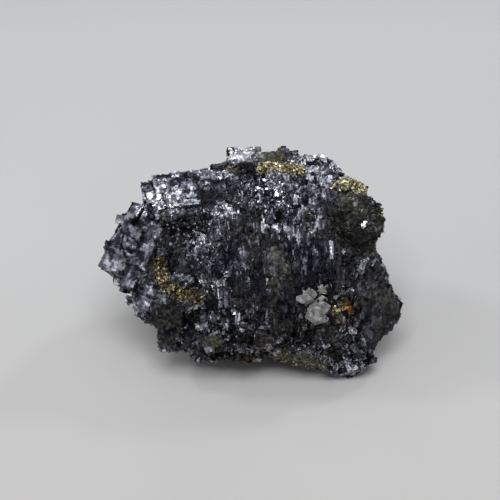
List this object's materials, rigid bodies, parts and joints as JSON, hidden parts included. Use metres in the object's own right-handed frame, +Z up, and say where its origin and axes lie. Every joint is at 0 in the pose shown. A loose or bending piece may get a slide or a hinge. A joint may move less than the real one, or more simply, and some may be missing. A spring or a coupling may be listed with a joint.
{
  "type": "galena specimen",
  "caption": "Hand-sized lump of massive galena with stepped cube faces, a zinc ore lump, brassy crusts and quartz grains; a display or teaching specimen.",
  "frame": {"origin": "middle of the bounding box's bottom, on the plane the lump rests on", "axes": "+X along the longest side, to the right of a viewer in front; +Y away from that viewer; +Z up"},
  "size_m": [0.0896, 0.0617, 0.0565],
  "materials": {
    "galena": "metallic, from mirror-like cleavage faces to dull",
    "zinc_ore": "resinous, rough",
    "brassy_sulphide": "metallic, granular",
    "quartz": "milky, greasy shine"
  },
  "bodies": {
    "root": {"galena_rock": "galena"}
  },
  "joints": []
}
